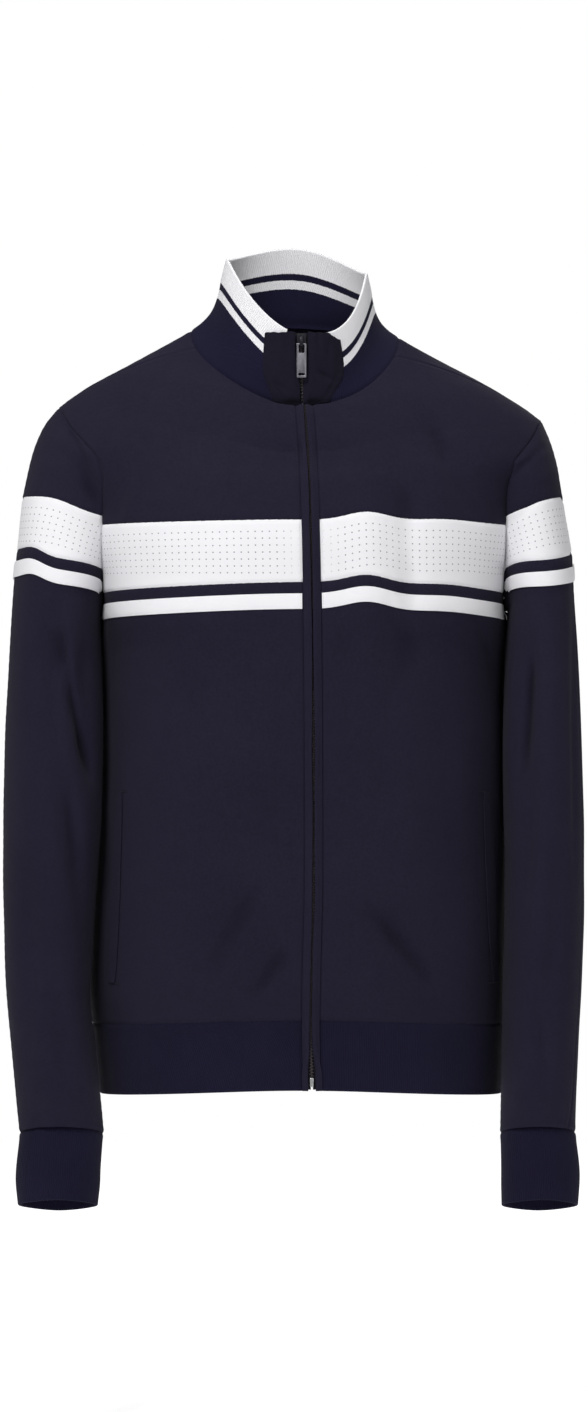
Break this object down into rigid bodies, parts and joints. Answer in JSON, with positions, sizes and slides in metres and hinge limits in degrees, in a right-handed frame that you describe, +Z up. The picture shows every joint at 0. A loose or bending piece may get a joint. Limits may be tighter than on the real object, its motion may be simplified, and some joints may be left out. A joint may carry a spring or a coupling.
{
  "type": "track jacket",
  "caption": "Zip-front knit track jacket in its worn form, with a rib stand collar, cuffs and hem, a band across the chest and sleeves, and side pockets. Empty, with no wearer.",
  "frame": {"origin": "the middle of the neck, level with the high point of the shoulders, where a figure or hanger holds the jacket", "axes": "+Z up from the hem to the collar, +X towards the wearer's left, and -Y out of the front"},
  "size_m": [0.5279, 0.2491, 0.888],
  "materials": {
    "navy_knit": "matte fine knit",
    "navy_rib": "matte rib knit",
    "white_knit": "matte smooth knit",
    "zip_tape": "woven tape with a closed coil",
    "gunmetal": "matte gunmetal",
    "silver": "satin silver"
  },
  "bodies": {
    "jacket": {"back": "navy_knit", "collar_end_left": "navy_knit", "collar_end_right": "navy_knit", "collar_rib": "navy_rib", "cuff_left": "navy_rib", "cuff_right": "navy_rib", "front_band_left": "white_knit", "front_band_right": "white_knit", "front_lower_left": "navy_knit", "front_lower_right": "navy_knit", "front_tape_left": "white_knit", "front_tape_right": "white_knit", "front_upper_left": "navy_knit", "front_upper_right": "navy_knit", "hem_rib": "navy_rib", "placket_left": "navy_knit", "placket_right": "navy_knit", "pocket_welt_left": "navy_knit", "pocket_welt_right": "navy_knit", "sleeve_left_back_band": "white_knit", "sleeve_left_back_cap": "navy_knit", "sleeve_left_back_lower": "navy_knit", "sleeve_left_back_tape": "white_knit", "sleeve_left_front_band": "white_knit", "sleeve_left_front_cap": "navy_knit", "sleeve_left_front_lower": "navy_knit", "sleeve_left_front_tape": "white_knit", "sleeve_right_back_band": "white_knit", "sleeve_right_back_cap": "navy_knit", "sleeve_right_back_lower": "navy_knit", "sleeve_right_back_tape": "white_knit", "sleeve_right_front_band": "white_knit", "sleeve_right_front_cap": "navy_knit", "sleeve_right_front_lower": "navy_knit", "sleeve_right_front_tape": "white_knit", "zip_box": "silver", "zip_slider": "gunmetal", "zip_tape": "zip_tape"},
    "zip_pull": {"zip_pull": "gunmetal"}
  },
  "joints": [
    {"name": "pull_hinge", "type": "hinge", "parent": "jacket", "child": "zip_pull", "pos_m": [0.00126, -0.06827, -0.0095], "axis": [-1, 0, 0], "range_deg": [0, 150]}
  ]
}
